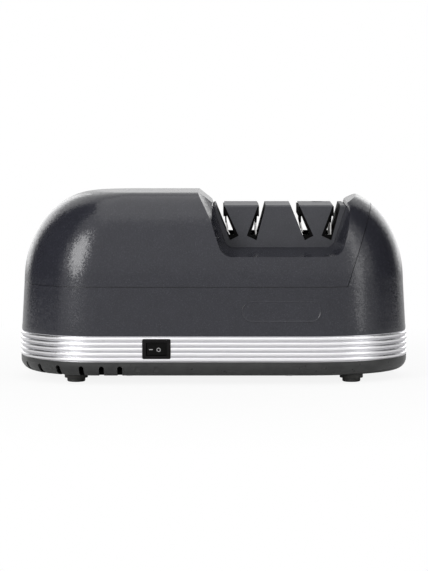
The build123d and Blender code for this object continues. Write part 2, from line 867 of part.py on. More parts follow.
with BuildPart() as shaft_nut:
    with BuildSketch(Plane.YZ.offset(stage_x[1] + wheel_outer)):
        with Locations((0, axis_z)):
            RegularPolygon(radius=nut_radius, side_count=6)
            Circle(shaft_radius + bore_gap, mode=Mode.SUBTRACT)
    extrude(amount=nut_width)
finish_piece(shaft_nut, "shaft_nut")

# ------------------------------------------------------------------ fan
with BuildPart() as cooling_fan:
    add(shaft_ring(fan_x + fan_width - fan_disc, fan_disc, fan_radius, shaft_radius + bore_gap))
    add(shaft_ring(fan_x, fan_width, fan_hub_radius, shaft_radius + bore_gap))
    with BuildSketch(Plane.YZ.offset(fan_x)):
        with Locations((0, axis_z)):
            with PolarLocations(0, fan_blades):
                with Locations(((fan_radius + fan_hub_radius - fan_disc) / 2, 0)):
                    Rectangle(fan_radius - fan_hub_radius, fan_blade_thickness)
    extrude(amount=fan_width - fan_disc / 2)
finish_piece(cooling_fan, "cooling_fan")

# ------------------------------------------------------------------ motor
bolt_places = [(side * motor_bolt_y, z) for side in (-1, 1) for z in motor_bolt_z]

with BuildPart() as stator_core:
    with BuildSketch(Plane.YZ.offset(stack_left)):
        with Locations((0, stack_bottom_z)):
            Rectangle(2 * stack_half_y, stack_top_z - stack_bottom_z, align=(Align.CENTER, Align.MIN))
        with Locations((0, axis_z)):
            Circle(rotor_radius + air_gap, mode=Mode.SUBTRACT)
        with Locations((0, stack_bottom_z + limb_height)):
            Rectangle(2 * window_half_y, window_height, align=(Align.CENTER, Align.MIN), mode=Mode.SUBTRACT)
        with Locations(*bolt_places):
            Circle(screw_radius + bore_gap, mode=Mode.SUBTRACT)
    extrude(amount=stack_width)
    fillet(stator_core.edges().filter_by(Axis.X).group_by(Axis.Z)[-1], motor_corner_radius)
finish_piece(stator_core, "stator_core")

with BuildPart() as rotor:
    rotor_length = stack_width - 2 * rotor_end_gap
    add(shaft_ring(stack_left + rotor_end_gap, rotor_length, rotor_radius, shaft_radius + bore_gap))
finish_piece(rotor, "rotor")

tube_half_x = stack_width / 2 + snug_gap + bobbin_wall
tube_half_z = limb_height / 2 + snug_gap + bobbin_wall
limb_z = stack_bottom_z + limb_height / 2
stack_x = stack_left + stack_width / 2


def winding_frame(start, length, outer_grow, inner_grow):
    """Rectangular ring around the lower limb of the stack, along Y."""
    with BuildPart() as frame:
        with BuildSketch(Plane.XZ.offset(-start)):
            with Locations((stack_x, limb_z)):
                RectangleRounded(
                    2 * (tube_half_x + outer_grow), 2 * (tube_half_z + outer_grow), bobbin_wall / 2
                )
                Rectangle(
                    2 * (tube_half_x + inner_grow), 2 * (tube_half_z + inner_grow), mode=Mode.SUBTRACT
                )
        extrude(amount=-length)
    return frame.part


flange_reach = winding_thickness + bobbin_wall / 2

with BuildPart() as bobbin:
    add(winding_frame(-bobbin_half_y, 2 * bobbin_half_y, 0, -bobbin_wall))
    add(winding_frame(-bobbin_half_y, bobbin_wall, flange_reach, -bobbin_wall))
    add(winding_frame(bobbin_half_y - bobbin_wall, bobbin_wall, flange_reach, -bobbin_wall))
finish_piece(bobbin, "bobbin")

with BuildPart() as motor_winding:
    winding_half_y = bobbin_half_y - bobbin_wall - touch_gap
    add(winding_frame(-winding_half_y, 2 * winding_half_y, winding_thickness, bore_gap))
finish_piece(motor_winding, "motor_winding")

for bracket_name, face_x, outward in (("rear", stack_left, -1), ("front", stack_right, 1)):
    plate_face = face_x + outward * bracket_plate
    with BuildPart() as bracket:
        with BuildSketch(Plane.YZ.offset(face_x)):
            with Locations((0, stack_bottom_z)):
                Rectangle(
                    2 * stack_half_y, bracket_top_z - stack_bottom_z, align=(Align.CENTER, Align.MIN)
                )
                Rectangle(
                    2 * bracket_window_half_y, bracket_window_z - stack_bottom_z,
                    align=(Align.CENTER, Align.MIN), mode=Mode.SUBTRACT,
                )
            with Locations(*bolt_places):
                Circle(screw_radius + bore_gap, mode=Mode.SUBTRACT)
        extrude(amount=outward * bracket_plate)
        fillet(bracket.edges().filter_by(Axis.X).group_by(Axis.Z)[-1], motor_corner_radius)
        with BuildSketch(Plane.YZ.offset(plate_face)):
            with Locations((0, axis_z)):
                Circle(bearing_cup_radius)
        extrude(amount=outward * bearing_cup_length)
        with BuildSketch(Plane.XY.offset(stack_bottom_z)):
            for side in (-1, 1):
                with Locations((plate_face + outward * bracket_foot / 2, side * motor_post_y)):
                    Rectangle(bracket_foot, 2 * motor_post_half_y)
        extrude(amount=bracket_plate)
        with BuildSketch(Plane.YZ.offset(face_x)):
            with Locations((0, axis_z)):
                Circle(bearing_radius + bore_gap)
        extrude(amount=outward * (bracket_plate + bearing_cup_length), mode=Mode.SUBTRACT)
        with BuildSketch(Plane.XY.offset(stack_bottom_z)):
            with Locations(*[(motor_post_x[(outward + 1) // 2], side * motor_post_y) for side in (-1, 1)]):
                Circle(screw_radius + bore_gap)
        extrude(amount=bracket_plate, mode=Mode.SUBTRACT)
    finish_piece(bracket, f"motor_bracket_{bracket_name}")
    with BuildPart() as bearing:
        middle = face_x + outward * (bracket_plate + bearing_cup_length) / 2
        add(shaft_ring(middle - bearing_length / 2, bearing_length, bearing_radius, shaft_radius + bore_gap))
    finish_piece(bearing, f"motor_bearing_{bracket_name}")

with BuildPart() as motor_bolts:
    bolt_left = stack_left - bracket_plate
    bolt_length = stack_width + 2 * bracket_plate
    with BuildSketch(Plane.YZ.offset(bolt_left - screw_head_height)):
        with Locations(*bolt_places):
            Circle(screw_radius - bore_gap)
    extrude(amount=bolt_length + 2 * screw_head_height)
    for head_x in (bolt_left - screw_head_height, bolt_left + bolt_length):
        with BuildSketch(Plane.YZ.offset(head_x)):
            with Locations(*bolt_places):
                RegularPolygon(radius=screw_head_radius, side_count=6)
        extrude(amount=screw_head_height)
finish_piece(motor_bolts, "motor_bolts")

with BuildPart() as motor_screws:
    for x in motor_post_x:
        for side in (-1, 1):
            add(upright_screw(x, side * motor_post_y, stack_bottom_z + bracket_plate, -motor_screw_reach))
finish_piece(motor_screws, "motor_screws")

# ------------------------------------------------------------------ outboard bearing
with BuildPart() as outboard_bracket:
    with BuildSketch(Plane.YZ.offset(outboard_x - outboard_plate / 2)):
        with BuildLine():
            Polyline(
                (-outboard_half_y, tray_floor_z),
                (outboard_half_y, tray_floor_z),
                (outboard_boss_radius, axis_z),
                (-outboard_boss_radius, axis_z),
                close=True,
            )
        make_face()
    extrude(amount=outboard_plate)
    add(shaft_disc(outboard_x - outboard_boss / 2, outboard_boss, outboard_boss_radius))
    with BuildSketch(Plane.XY.offset(tray_floor_z)):
        with Locations((outboard_x, 0)):
            Rectangle(2 * outboard_foot_half_x, 2 * outboard_foot_half_y)
    extrude(amount=outboard_foot_height)
    with BuildSketch(Plane.YZ.offset(outboard_x - outboard_boss)):
        with Locations((0, axis_z)):
            Circle(bearing_radius + bore_gap)
    extrude(amount=2 * outboard_boss, mode=Mode.SUBTRACT)
    with BuildSketch(Plane.XY.offset(tray_floor_z)):
        with Locations((outboard_x, -outboard_screw_y), (outboard_x, outboard_screw_y)):
            Circle(screw_radius + bore_gap)
    extrude(amount=outboard_foot_height, mode=Mode.SUBTRACT)
finish_piece(outboard_bracket, "outboard_bracket")

with BuildPart() as outboard_bearing:
    add(shaft_ring(
        outboard_x - bearing_length / 2, bearing_length, bearing_radius, shaft_radius + bore_gap
    ))
finish_piece(outboard_bearing, "outboard_bearing")

with BuildPart() as outboard_screws:
    seat = tray_floor_z + outboard_foot_height
    reach = outboard_foot_height + screw_head_height
    for side in (-1, 1):
        add(upright_screw(outboard_x, side * outboard_screw_y, seat, -reach))
finish_piece(outboard_screws, "outboard_screws")

# ------------------------------------------------------------------ dust baffle
with BuildPart() as dust_baffle:
    add(housing_body(baffle_inset))
    with BuildSketch(Plane.YZ.offset(baffle_x - baffle_thickness / 2)):
        with Locations((0, band_top_z)):
            Rectangle(4 * side_reach, 2 * crown_z, align=(Align.CENTER, Align.MIN))
    extrude(amount=baffle_thickness, mode=Mode.INTERSECT)
    with BuildSketch(Plane.YZ.offset(baffle_x - baffle_thickness / 2)):
        with Locations((0, tray_floor_z)):
            Rectangle(2 * baffle_half_y, band_top_z - tray_floor_z, align=(Align.CENTER, Align.MIN))
    extrude(amount=baffle_thickness)
    shaft_hole = shaft_radius + baffle_shaft_gap
    add(shaft_disc(baffle_x - baffle_thickness, 2 * baffle_thickness, shaft_hole), mode=Mode.SUBTRACT)
finish_piece(dust_baffle, "dust_baffle")

# ------------------------------------------------------------------ switch
bezel_front_y = -side_reach - bezel_proud
bezel_back_y = bezel_front_y + bezel_thickness
pivot_y = bezel_front_y + rocker_pivot_depth
case_back_y = bezel_back_y + switch_case_depth

with BuildPart() as switch_body:
    with BuildSketch(Plane.XZ.offset(-bezel_front_y)):
        with Locations((switch_x, switch_z)):
            RectangleRounded(bezel_width, bezel_height, bezel_corner)
    extrude(amount=-bezel_thickness)
    chamfer(switch_body.edges().group_by(Axis.Y)[0], bezel_chamfer)
    with BuildSketch(Plane.XZ.offset(-bezel_back_y)):
        with Locations((switch_x, switch_z)):
            Rectangle(switch_case_width, switch_case_height)
    extrude(amount=-switch_case_depth)
    with BuildSketch(Plane.XZ.offset(-bezel_front_y)):
        with Locations((switch_x, switch_z)):
            Rectangle(2 * bezel_window_half, rocker_height + 2 * rocker_gap)
    extrude(amount=-rocker_pivot_depth, mode=Mode.SUBTRACT)
    with BuildSketch(Plane.XY.offset(switch_z - rocker_height / 2 - rocker_gap)):
        with Locations((switch_x, pivot_y)):
            Circle(rocker_radius + rocker_gap)
    extrude(amount=rocker_height + 2 * rocker_gap, mode=Mode.SUBTRACT)
    pin_room = rocker_height / 2 + rocker_pin_length + rocker_gap
    with BuildSketch(Plane.XY.offset(switch_z - pin_room)):
        with Locations((switch_x, pivot_y)):
            Circle(rocker_pin_radius + bore_gap)
    extrude(amount=2 * pin_room, mode=Mode.SUBTRACT)
finish_piece(switch_body, "switch_body")

# The rocker rests in its OFF position: its right half lies flat and its left half stands out.
with BuildPart() as switch_rocker:
    with BuildSketch(Plane.XY.offset(switch_z - rocker_height / 2)):
        with Locations((switch_x, pivot_y)):
            Circle(rocker_radius)
        with BuildLine():
            face_y = bezel_front_y + rocker_face_depth
            raised_y = face_y - 2 * rocker_radius * tan(radians(2 * rocker_tilt))
            Polyline(
                (switch_x + 2 * rocker_radius, face_y),
                (switch_x, face_y),
                (switch_x - 2 * rocker_radius, raised_y),
                (switch_x - 2 * rocker_radius, pivot_y + rocker_back),
                (switch_x + 2 * rocker_radius, pivot_y + rocker_back),
                close=True,
            )
        make_face(mode=Mode.INTERSECT)
    extrude(amount=rocker_height)
    pin_reach = rocker_height / 2 + rocker_pin_length
    with BuildSketch(Plane.XY.offset(switch_z - pin_reach)):
        with Locations((switch_x, pivot_y)):
            Circle(rocker_pin_radius)
    extrude(amount=2 * pin_reach)
finish_piece(switch_rocker, "switch_rocker")

with BuildPart() as switch_terminals:
    with BuildSketch(Plane.XZ.offset(-case_back_y)):
        with Locations(*[(switch_x + side * terminal_pitch / 2, switch_z) for side in (-1, 1)]):
            Rectangle(terminal_thickness, terminal_width)
    extrude(amount=-terminal_length)
finish_piece(switch_terminals, "switch_terminals")

# ------------------------------------------------------------------ cord gland and terminal block
gland_outer_y = side_reach + bezel_proud
gland_wall_y = side_reach - housing_step

with BuildPart() as cord_gland:
    with BuildSketch(Plane.XZ.offset(-gland_outer_y)):
        with Locations((gland_x, gland_z)):
            Circle(gland_radius)
    extrude(amount=gland_outer_y - gland_wall_y)
    chamfer(cord_gland.edges().group_by(Axis.Y)[-1], bezel_proud / 2)
    with BuildSketch(Plane.XZ.offset(-gland_wall_y)):
        with Locations((gland_x, gland_z)):
            Circle(gland_neck_radius)
    extrude(amount=shell_wall + fit_gap)
    with BuildSketch(Plane.XZ.offset(-gland_wall_y + shell_wall + fit_gap)):
        with Locations((gland_x, gland_z)):
            Circle(gland_radius)
    extrude(amount=gland_flange)
    with BuildSketch(Plane.XZ.offset(-gland_outer_y)):
        with Locations((gland_x, gland_z)):
            Circle(gland_bore_radius)
    extrude(amount=4 * shell_wall, mode=Mode.SUBTRACT)
finish_piece(cord_gland, "cord_gland")

with BuildPart() as terminal_block:
    with BuildSketch(Plane.XY.offset(tray_floor_z)):
        with Locations((block_x, block_y)):
            Rectangle(block_length, block_width)
    extrude(amount=block_height)
    chamfer(terminal_block.edges().group_by(Axis.Z)[-1], block_edge_chamfer)
    with BuildSketch(Plane.XY.offset(tray_floor_z + block_height)):
        with Locations((block_x, block_y)):
            with GridLocations(block_length / 3, block_width / 2, 3, 2):
                Circle(screw_radius)
    extrude(amount=-block_height / 3, mode=Mode.SUBTRACT)
finish_piece(terminal_block, "terminal_block")

# ------------------------------------------------------------------ screws of the casing
with BuildPart() as base_screws:
    for x, y in base_post_places:
        add(upright_screw(x, y, tray_bottom_z + screw_head_height, base_screw_reach))
finish_piece(base_screws, "base_screws")

with BuildPart() as block_screws:
    for x, y in block_screw_places:
        add(upright_screw(x, y, pocket_floor_z - pocket_wall, block_screw_reach))
finish_piece(block_screws, "block_screws")

# ------------------------------------------------------------------ leads inside the base
terminal_end_y = case_back_y + terminal_length
lead_z = tray_floor_z + block_height / 2
winding_right = stack_x + tube_half_x + winding_thickness
block_face_y = block_y - block_width / 2
feed_x = switch_x + terminal_pitch / 2
return_x = switch_x - terminal_pitch / 2
lead_routes = {
    "switch_lead_feed": [
        (feed_x, terminal_end_y, switch_z),
        (feed_x, terminal_end_y + lead_start, switch_z),
        (feed_turn_x, terminal_end_y + feed_turn_run, switch_z - feed_turn_drop),
        (lead_lanes[0], feed_lane_y, lead_z),
        (lead_lanes[0], block_face_y, lead_z),
    ],
    "switch_lead_motor": [
        (return_x, terminal_end_y, switch_z),
        (return_x, terminal_end_y + lead_start, switch_z),
        (return_turn_x, terminal_end_y + return_turn_run, switch_z - return_turn_drop),
        (lead_lanes[1], return_lane_y, lead_z),
        (lead_lanes[1], block_face_y, lead_z),
    ],
    "motor_lead": [
        (winding_right, motor_lead_y, motor_lead_z),
        (lead_lanes[2], motor_lead_y, motor_lead_z),
        (lead_lanes[2], motor_lead_y + bracket_foot, lead_z),
        (lead_lanes[2], block_face_y, lead_z),
    ],
}
for lead_name, route in lead_routes.items():
    with BuildPart() as lead:
        with BuildLine():
            run = FilletPolyline(*route, radius=lead_bend)
        with BuildSketch(Plane(origin=run @ 0, z_dir=run % 0)):
            Circle(lead_radius)
        sweep()
    finish_piece(lead, lead_name)
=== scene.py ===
import json
import math

import bmesh
import bpy
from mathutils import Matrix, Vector
from mathutils.bvhtree import BVHTree


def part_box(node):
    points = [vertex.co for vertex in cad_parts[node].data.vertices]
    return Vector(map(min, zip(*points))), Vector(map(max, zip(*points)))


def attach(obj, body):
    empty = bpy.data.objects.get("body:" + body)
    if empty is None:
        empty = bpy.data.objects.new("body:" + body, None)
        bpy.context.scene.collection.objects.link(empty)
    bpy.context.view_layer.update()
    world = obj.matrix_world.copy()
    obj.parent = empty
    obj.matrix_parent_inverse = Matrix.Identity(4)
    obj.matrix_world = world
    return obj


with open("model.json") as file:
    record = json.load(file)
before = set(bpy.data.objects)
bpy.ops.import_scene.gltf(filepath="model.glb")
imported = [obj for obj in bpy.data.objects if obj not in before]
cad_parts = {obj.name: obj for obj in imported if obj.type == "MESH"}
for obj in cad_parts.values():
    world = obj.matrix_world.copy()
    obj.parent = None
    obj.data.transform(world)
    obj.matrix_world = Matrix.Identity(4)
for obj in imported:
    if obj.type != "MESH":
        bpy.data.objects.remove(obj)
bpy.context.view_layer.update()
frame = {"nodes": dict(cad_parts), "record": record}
MM = 0.001

# ------------------------------------------------------------------ places taken from the frame
nodes = frame["nodes"]
band_low, band_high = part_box("trim_band")
tray_low, tray_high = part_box("base_tray")
block_top_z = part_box("guide_block")[1].z
bezel_front_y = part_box("switch_body")[0].y
rocker_low, rocker_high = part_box("switch_rocker")
rocker_middle = (rocker_low + rocker_high) / 2
rocker_half = (rocker_high - rocker_low) / 2


# ------------------------------------------------------------------ node trees
class Graph:
    """The node tree of a material or of the world, with short calls for the nodes used here."""

    def __init__(self, owner, output="ShaderNodeOutputMaterial"):
        owner.use_nodes = True
        self.tree = owner.node_tree
        self.tree.nodes.clear()
        self.output = self.node(output)

    def node(self, kind, **inputs):
        """A node, with constants on its inputs; an underscore stands for a space."""
        made = self.tree.nodes.new(kind)
        for key, value in inputs.items():
            made.inputs[key.replace("_", " ")].default_value = value
        return made

    def link(self, source, target):
        self.tree.links.new(source, target)

    def show(self, source):
        """Make a shader the surface."""
        self.link(source, self.output.inputs["Surface"])

    def compute(self, kind, operation, *values):
        """A maths node's output; the values are outputs, or constants of the input's kind."""
        made = self.node(kind)
        made.operation = operation
        for value, target in zip(values, made.inputs):
            if isinstance(value, bpy.types.NodeSocket):
                self.link(value, target)
            else:
                target.default_value = value
        return made.outputs[0]

    def number(self, operation, *values):
        return self.compute("ShaderNodeMath", operation, *values)

    def vector(self, operation, *values):
        return self.compute("ShaderNodeVectorMath", operation, *values)

    def blend(self, factor, first, second):
        """Mix two shaders by a factor output."""
        made = self.node("ShaderNodeMixShader")
        for source, target in zip((factor, first, second), made.inputs):
            self.link(source, target)
        return made.outputs[0]


class MaterialGraph(Graph):
    """A new material's node tree, with the patterns that the finishes are made of."""

    def __init__(self, name):
        self.material = bpy.data.materials.new(name)
        super().__init__(self.material)
        self.place = self.node("ShaderNodeTexCoord").outputs["Object"]

    def shader(self, **inputs):
        made = self.node("ShaderNodeBsdfPrincipled", **inputs)
        self.show(made.outputs[0])
        return made

    def axis(self, letter):
        """One coordinate of the place."""
        split = self.node("ShaderNodeSeparateXYZ")
        self.link(self.place, split.inputs[0])
        return split.outputs[letter]

    def noise(self, size_mm, detail=2.0, stretch=(1, 1, 1)):
        """Noise whose blobs are about size_mm across."""
        mapping = self.node("ShaderNodeMapping", Scale=stretch)
        self.link(self.place, mapping.inputs["Vector"])
        made = self.node("ShaderNodeTexNoise", Scale=1 / (size_mm * MM), Detail=detail)
        self.link(mapping.outputs[0], made.inputs["Vector"])
        return made.outputs["Fac"]

    def cells(self, size_mm, output="Distance"):
        """Cells of about size_mm across, each with its own random colour."""
        made = self.node("ShaderNodeTexVoronoi", Scale=1 / (size_mm * MM))
        self.link(self.place, made.inputs["Vector"])
        return made.outputs[output]

    def tilted(self, size_mm, amount):
        """The surface's normal, tilted at random from one flake to the next."""
        colour = self.cells(size_mm, "Color")
        spread = self.vector("MULTIPLY_ADD", colour, [amount] * 3, [-amount / 2] * 3)
        normal = self.node("ShaderNodeNewGeometry").outputs["Normal"]
        return self.vector("NORMALIZE", self.vector("ADD", normal, spread))

    def scaled(self, value, low, high, new_low=0.0, new_high=1.0):
        """A value's range mapped to another range."""
        made = self.node(
            "ShaderNodeMapRange", From_Min=low, From_Max=high, To_Min=new_low, To_Max=new_high
        )
        self.link(value, made.inputs["Value"])
        return made.outputs[0]

    def ramp(self, value, *stops):
        """Colour ramp over a value; each stop is a position with a grey or a colour."""
        made = self.node("ShaderNodeValToRGB")
        elements = made.color_ramp.elements
        while len(elements) < len(stops):
            elements.new(0.5)
        for element, (position, colour) in zip(elements, stops):
            element.position = position
            element.color = (*grey(colour), 1) if isinstance(colour, float) else (*colour, 1)
        self.link(value, made.inputs["Fac"])
        return made.outputs["Color"]

    def mix(self, factor, first, second):
        """Mix two colour outputs by a factor output."""
        made = self.node("ShaderNodeMix")
        made.data_type = "RGBA"
        colours = [socket for socket in made.inputs if socket.type == "RGBA"]
        for source, target in zip((factor, first, second), (made.inputs["Factor"], *colours)):
            self.link(source, target)
        return next(socket for socket in made.outputs if socket.type == "RGBA")

    def bump(self, height, depth_mm):
        """A normal from a height pattern."""
        made = self.node("ShaderNodeBump", Strength=1.0, Distance=depth_mm * MM)
        self.link(height, made.inputs["Height"])
        return made.outputs["Normal"]

    def dress(self, shader, colour, roughness, normal):
        """Link the three patterns that every finish has, and return the finished material."""
        self.link(colour, shader.inputs["Base Color"])
        self.link(roughness, shader.inputs["Roughness"])
        self.link(normal, shader.inputs["Normal"])
        return self.material


def grey(level):
    return (level, level, level)


def shaded(colour, share):
    return tuple(channel * share for channel in colour)


# ------------------------------------------------------------------ finishes
DRAWN_X, DRAWN_Y, TURNED_ABOUT_X = (0.05, 1, 1), (1, 0.05, 1), (1, 0.05, 0.05)


def plastic(name, dark, light, roughness, grain_mm, specular=0.5):
    """Moulded plastic: mottled colour, uneven gloss and a grain, given by its size and depth."""
    graph = MaterialGraph(name)
    colour = graph.ramp(graph.noise(6, detail=4), (0.35, dark), (0.65, light))
    gloss = graph.noise(2.5, detail=3)
    rough = graph.ramp(gloss, (0.3, roughness * 0.85), (0.7, roughness * 1.15))
    grain_size_mm, grain_depth_mm = grain_mm
    grain = graph.bump(graph.noise(grain_size_mm, detail=3), grain_depth_mm)
    return graph.dress(graph.shader(Specular_IOR_Level=specular), colour, rough, grain)


def metal(name, dark, light, roughness, stretch=(1, 1, 1), scratch_mm=0.5):
    """Bare metal; its marks are drawn out along the axes where the stretch is below 1."""
    graph = MaterialGraph(name)
    marks = graph.noise(scratch_mm, detail=5, stretch=stretch)
    colour = graph.ramp(marks, (0.3, dark), (0.7, light))
    rough = graph.ramp(marks, (0.3, roughness * 0.8), (0.7, roughness * 1.25))
    return graph.dress(graph.shader(Metallic=1.0), colour, rough, graph.bump(marks, depth_mm=0.01))


def pearl_plastic(name, deep, flake, roughness):
    """Dark plastic full of fine metal flakes under a thin clear skin."""
    sparkle_mm, facet_mm, facet_tilt = 0.3, 0.5, 0.1
    graph = MaterialGraph(name)
    shader = graph.shader(Specular_IOR_Level=0.4, Coat_Weight=0.1, Coat_Roughness=0.16)
    sparkle = graph.ramp(graph.cells(sparkle_mm, "Color"), (0.0, 0.0), (0.7, 0.1), (1.0, 1.0))
    mottle = graph.noise(9, detail=3)
    dark = graph.ramp(mottle, (0.3, shaded(deep, 0.94)), (0.7, shaded(deep, 1.06)))
    light = graph.ramp(mottle, (0.3, shaded(flake, 0.9)), (0.7, flake))
    gloss = graph.noise(0.8, detail=3)
    rough = graph.ramp(gloss, (0.25, roughness * 0.85), (0.75, roughness * 1.2))
    facets = graph.tilted(facet_mm, facet_tilt)
    return graph.dress(shader, graph.mix(sparkle, dark, light), rough, facets)


def lamination(sheet_mm=0.5):
    """Edges of steel sheets, stacked along the motor's axis."""
    graph = MaterialGraph("lamination")
    turns = graph.number("MULTIPLY", graph.axis("X"), 2 * math.pi / (sheet_mm * MM))
    wave = graph.number("SINE", turns)
    colour = graph.ramp(wave, (0.0, 0.16), (0.5, 0.32))
    rough = graph.ramp(graph.noise(1.5), (0.3, 0.4), (0.7, 0.6))
    steps = graph.bump(wave, depth_mm=0.05)
    return graph.dress(graph.shader(Metallic=0.9), colour, rough, steps)


def ridged_silver_painted_shade(low, high, ridges):
    """Bright foil over the ridges of the trim band, with painted shade in the grooves between them.
    """
    graph = MaterialGraph("trim_silver")
    turns = graph.scaled(graph.axis("Z"), low, high, 0.0, 2 * math.pi * ridges)
    groove = graph.scaled(graph.number("COSINE", turns), -1.0, 1.0)
    # painted shade: the colour turns darker in each groove, in a wave over the band's height
    painted_shade = graph.ramp(groove, (0.25, 0.0), (0.85, 1.0))
    marks = graph.noise(0.8, detail=4, stretch=DRAWN_X)
    ridge = graph.ramp(marks, (0.3, (0.91, 0.905, 0.925)), (0.7, (0.94, 0.935, 0.95)))
    painted_valley_shade = graph.ramp(marks, (0.3, (0.62, 0.615, 0.64)), (0.7, (0.65, 0.645, 0.67)))
    rough = graph.ramp(marks, (0.3, 0.27), (0.7, 0.33))
    colour = graph.mix(painted_shade, ridge, painted_valley_shade)
    scratches = graph.bump(marks, depth_mm=0.002)
    return graph.dress(graph.shader(Metallic=1.0), colour, rough, scratches)


def grit(name, dark, light, grain_mm):
    """Bonded abrasive: sharp grains of two tones in a dull bond."""
    graph = MaterialGraph(name)
    colour = graph.ramp(graph.cells(grain_mm, "Color"), (0.2, dark), (0.8, light))
    rough = graph.ramp(graph.noise(grain_mm, detail=3), (0.3, 0.6), (0.7, 0.85))
    grains = graph.bump(graph.cells(grain_mm), depth_mm=0.08)
    return graph.dress(graph.shader(), colour, rough, grains)


body_pearl = pearl_plastic("body_pearl", (0.0215, 0.022, 0.029), (0.052, 0.053, 0.065), 0.2)
# painted light: a lighter copy of the body's pearl plastic, offsetting the shade of the pocket
# around the guide block
block_pearl_painted_light = pearl_plastic("block_pearl_painted_light", (0.04, 0.041, 0.048), (0.075, 0.076, 0.088), 0.5)
# painted shade: a flat black, darker than any plastic here, for faces that lie in deep shade
painted_shade_black = plastic("painted_shade_black", grey(0.0012), grey(0.0022), 0.6, (0.4, 0.01), specular=0.06)
rocker_black = plastic("rocker_black", grey(0.0015), grey(0.003), 0.34, (0.4, 0.01), specular=0.1)
white_ink = plastic("white_ink", grey(0.42), grey(0.5), 0.5, (0.2, 0.005))
finishes = {
    "body_plastic": body_pearl,
    "base_plastic": plastic(
        "base_plastic", (0.0215, 0.022, 0.022), (0.031, 0.032, 0.0315), 0.32, (0.5, 0.012)
    ),
    "trim_silver": ridged_silver_painted_shade(band_low.z, band_high.z, ridges=5),
    "black_plastic": plastic(
        "black_plastic", (0.007, 0.0065, 0.007), (0.012, 0.0115, 0.012), 0.34, (0.4, 0.01),
        specular=0.08,
    ),
    "rubber": plastic("soft_rubber", (0.02, 0.02, 0.019), (0.034, 0.033, 0.032), 0.7, (0.3, 0.03)),
    "nylon": plastic("nylon", (0.62, 0.6, 0.54), (0.72, 0.7, 0.64), 0.45, (0.6, 0.02)),
    "lamination_steel": lamination(),
    "copper_winding": metal(
        "copper_wire", (0.42, 0.13, 0.04), (0.62, 0.24, 0.09), 0.3, scratch_mm=0.8
    ),
    "die_cast": metal("cast_metal", (0.42, 0.43, 0.44), (0.56, 0.57, 0.58), 0.5, scratch_mm=1.2),
    "bronze": metal("sintered_bronze", (0.36, 0.22, 0.09), (0.5, 0.33, 0.15), 0.45, scratch_mm=0.3),
    "zinc_steel": metal("bright_steel", (0.5, 0.5, 0.51), (0.66, 0.66, 0.67), 0.28, DRAWN_X),
    "ground_steel": metal(
        "ground_steel", (0.42, 0.42, 0.43), (0.56, 0.56, 0.57), 0.22, TURNED_ABOUT_X
    ),
    "spring_steel": metal("spring_steel", (0.62, 0.61, 0.6), (0.76, 0.75, 0.74), 0.3, DRAWN_Y),
    "brass_terminal": metal("brass", (0.66, 0.46, 0.18), (0.8, 0.6, 0.28), 0.3),
    "lead_sheath": plastic("lead_sheath", (0.02, 0.05, 0.22), (0.03, 0.07, 0.3), 0.4, (0.5, 0.01)),
    "coarse_abrasive": grit("coarse_grit", (0.1, 0.09, 0.085), (0.3, 0.28, 0.26), 0.35),
    "fine_abrasive": grit("fine_grit", (0.34, 0.32, 0.3), (0.5, 0.48, 0.45), 0.18),
}
for entry in frame["record"]["subparts"]:
    cad_mesh = nodes[entry["node"]].data
    cad_mesh.materials.clear()
    cad_mesh.materials.append(finishes[entry["material_slot"]])
# painted light: the guide block takes the lightened copy of the pearl plastic
nodes["guide_block"].data.materials[0] = block_pearl_painted_light
nodes["switch_rocker"].data.materials[0] = rocker_black


# ------------------------------------------------------------------ painted shade: black in slots and recesses
def paint_shade(node, in_shade):
    """Paint shade: make those faces of a CAD piece black whose centre and normal pass a test."""
    mesh = nodes[node].data
    mesh.materials.append(painted_shade_black)
    for face in mesh.polygons:
        if in_shade(face.center, face.normal):
            face.material_index = 1


# painted shade: the holders, and each leaf's back and upper part, made black
LEAF_PAINTED_SHADE_DEPTH = 4.6 * MM
LEAF_BACK_NORMAL = 0.5
stage_middles = []
for stage in ("coarse", "fine"):
    left_low, left_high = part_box(f"leaf_spring_{stage}_left")
    right_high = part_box(f"leaf_spring_{stage}_right")[1]
    stage_middles.append((left_low.x + right_high.x) / 2)
    leaf_painted_shade_z = left_high.z - LEAF_PAINTED_SHADE_DEPTH
    for side, outward in (("left", -1), ("right", 1)):
        nodes[f"spring_holder_{stage}_{side}"].data.materials[0] = painted_shade_black
        paint_shade(
            f"leaf_spring_{stage}_{side}",
            lambda place, normal: normal.x * outward > LEAF_BACK_NORMAL or place.z > leaf_painted_shade_z,
        )

# painted shade on the guide block's slot walls
SLOT_REACH = 15 * MM
SLOT_DEPTH = 19.2 * MM
SLOT_EDGE = 0.1 * MM
SLOT_WALL_NORMAL = 0.2


def in_slot(place, normal):
    near_stage = any(abs(place.x - middle) < SLOT_REACH for middle in stage_middles)
    in_depth = SLOT_EDGE < block_top_z - place.z < SLOT_DEPTH
    return near_stage and in_depth and abs(normal.y) < SLOT_WALL_NORMAL


paint_shade("guide_block", in_slot)

# painted shade in the tray's vents; its plan is a straight run between two half ellipses
TRAY_LEFT_CURVE_X, TRAY_RIGHT_CURVE_X = -62.0 * MM, 49.6 * MM
TRAY_SKIN_SHARE = 0.955
UPRIGHT_NORMAL = 0.5


def in_vent(place, normal):
    """Whether a face lies upright and inside the tray's outline, which is at a share of 1."""
    along = 0.0
    if place.x < TRAY_LEFT_CURVE_X:
        along = (place.x - TRAY_LEFT_CURVE_X) / (tray_low.x - TRAY_LEFT_CURVE_X)
    elif place.x > TRAY_RIGHT_CURVE_X:
        along = (place.x - TRAY_RIGHT_CURVE_X) / (tray_high.x - TRAY_RIGHT_CURVE_X)
    inside = math.hypot(along, place.y / tray_high.y) < TRAY_SKIN_SHARE
    return inside and abs(normal.z) < UPRIGHT_NORMAL


paint_shade("base_tray", in_vent)

